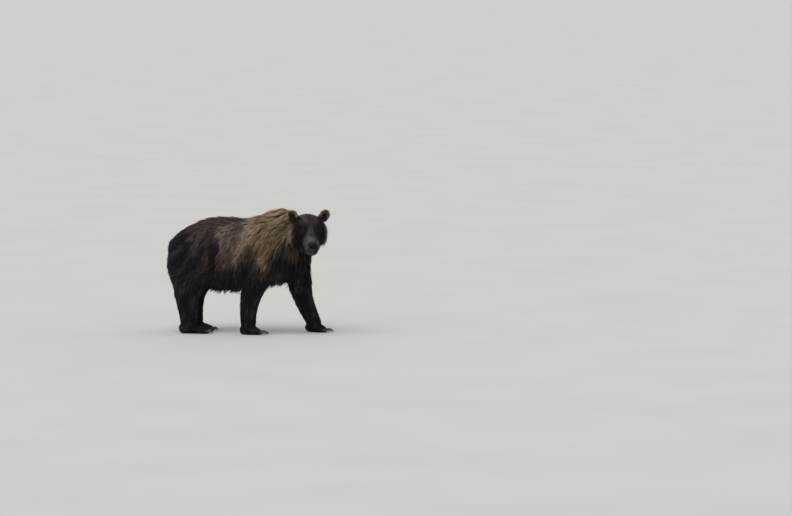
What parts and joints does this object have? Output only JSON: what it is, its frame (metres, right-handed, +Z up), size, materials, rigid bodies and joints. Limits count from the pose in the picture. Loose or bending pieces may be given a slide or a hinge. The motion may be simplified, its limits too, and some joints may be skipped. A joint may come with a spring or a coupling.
{
  "type": "grizzly bear figure",
  "caption": "Life-size still figure of a grizzly bear in mid-stride, with a shoulder hump, a long shaggy coat and its head turned to look at the viewer.",
  "frame": {"origin": "on the floor under the middle of the figure's bounding box", "axes": "+X is the way the body faces, +Y is the bear's left, +Z is up"},
  "size_m": [1.5598, 0.7142, 1.1681],
  "materials": {
    "flank_fur": "long coarse fur, brown on the flanks and black-brown on the rump",
    "mane_fur": "long coarse fur with pale golden tips",
    "dark_fur": "dense black-brown fur",
    "face_fur": "short dark fur",
    "muzzle_fur": "short greyish brown fur",
    "nose_skin": "moist pebbled skin",
    "eye": "glossy dark glass eye",
    "horn": "worn dark horn"
  },
  "bodies": {
    "root": {"torso": "flank_fur", "neck": "mane_fur", "tail": "dark_fur", "head": "face_fur", "jaw": "muzzle_fur", "nose": "nose_skin", "eye_right": "eye", "eye_left": "eye", "ear_right": "mane_fur", "ear_left": "mane_fur", "foreleg_right_upper": "dark_fur", "foreleg_right_lower": "dark_fur", "foreleg_left_upper": "dark_fur", "foreleg_left_lower": "dark_fur", "hindleg_right_upper": "dark_fur", "hindleg_right_lower": "dark_fur", "hindleg_left_upper": "dark_fur", "hindleg_left_lower": "dark_fur", "forepaw_right": "dark_fur", "forepaw_left": "dark_fur", "hindpaw_right": "dark_fur", "hindpaw_left": "dark_fur", "forepaw_right_claw_1": "horn", "forepaw_right_claw_2": "horn", "forepaw_right_claw_3": "horn", "forepaw_right_claw_4": "horn", "forepaw_right_claw_5": "horn", "forepaw_left_claw_1": "horn", "forepaw_left_claw_2": "horn", "forepaw_left_claw_3": "horn", "forepaw_left_claw_4": "horn", "forepaw_left_claw_5": "horn", "hindpaw_right_claw_1": "horn", "hindpaw_right_claw_2": "horn", "hindpaw_right_claw_3": "horn", "hindpaw_right_claw_4": "horn", "hindpaw_right_claw_5": "horn", "hindpaw_left_claw_1": "horn", "hindpaw_left_claw_2": "horn", "hindpaw_left_claw_3": "horn", "hindpaw_left_claw_4": "horn", "hindpaw_left_claw_5": "horn"}
  },
  "joints": []
}
